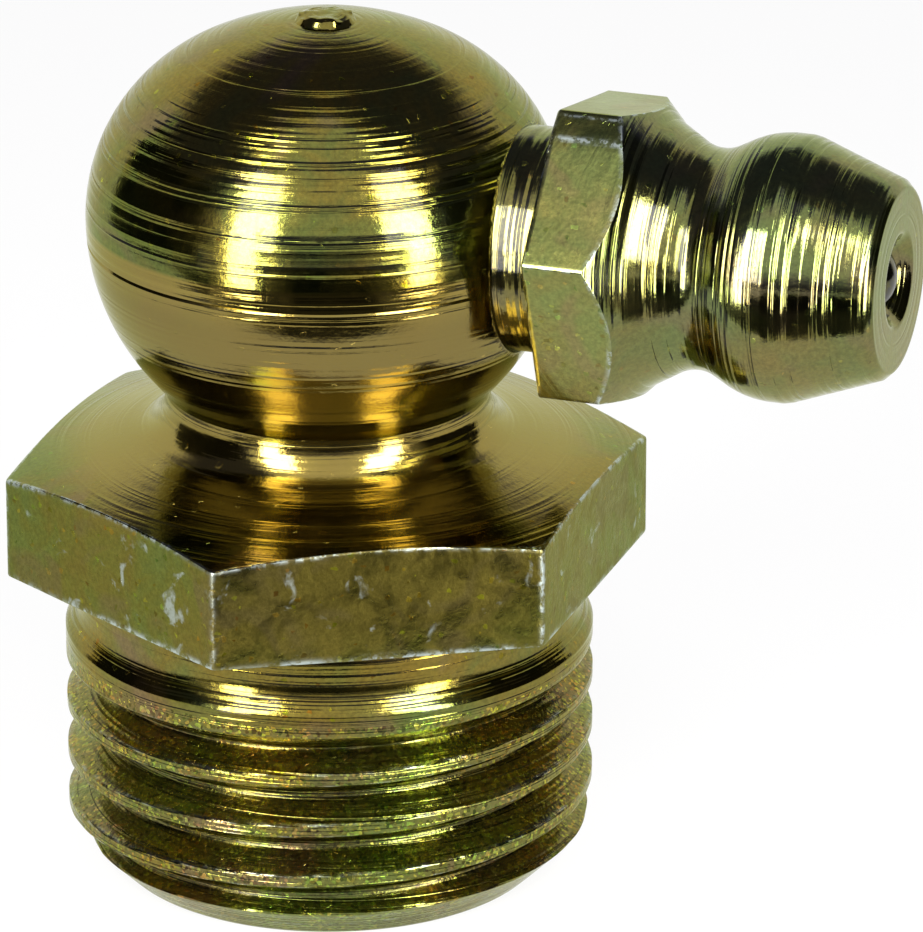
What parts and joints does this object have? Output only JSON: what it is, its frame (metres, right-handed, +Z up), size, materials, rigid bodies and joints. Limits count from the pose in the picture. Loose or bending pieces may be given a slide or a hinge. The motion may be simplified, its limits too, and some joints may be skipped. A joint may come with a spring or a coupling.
{
  "type": "grease nipple",
  "caption": "Right-angle grease nipple: hexagon base with a parallel pipe thread, turned ball and a side insert with coupling head and sprung check ball.",
  "frame": {"origin": "axis of the thread, at the underside of the base hexagon, which seats on the lubricated part", "axes": "+Z up the axis of the thread towards the ball, +X along the side insert towards its coupling head"},
  "size_m": [0.0216, 0.0162, 0.0221],
  "materials": {
    "body_plating": "turned steel, zinc plated with a yellow passivation",
    "insert_plating": "turned steel, zinc plated with a yellow passivation",
    "ball_steel": "polished hardened steel",
    "spring_steel": "bright drawn spring wire"
  },
  "bodies": {
    "fitting": {"elbow_body": "body_plating", "nipple_insert": "insert_plating", "valve_spring": "spring_steel"},
    "check_ball": {"valve_ball": "ball_steel"}
  },
  "joints": [
    {"name": "ball_lift", "type": "slide", "parent": "fitting", "child": "check_ball", "axis": [-1, 0, 0], "range_m": [0, 0.0008], "stiffness_N_per_m": 843, "springref_m": -0.00088, "deforming": ["valve_spring"]}
  ]
}
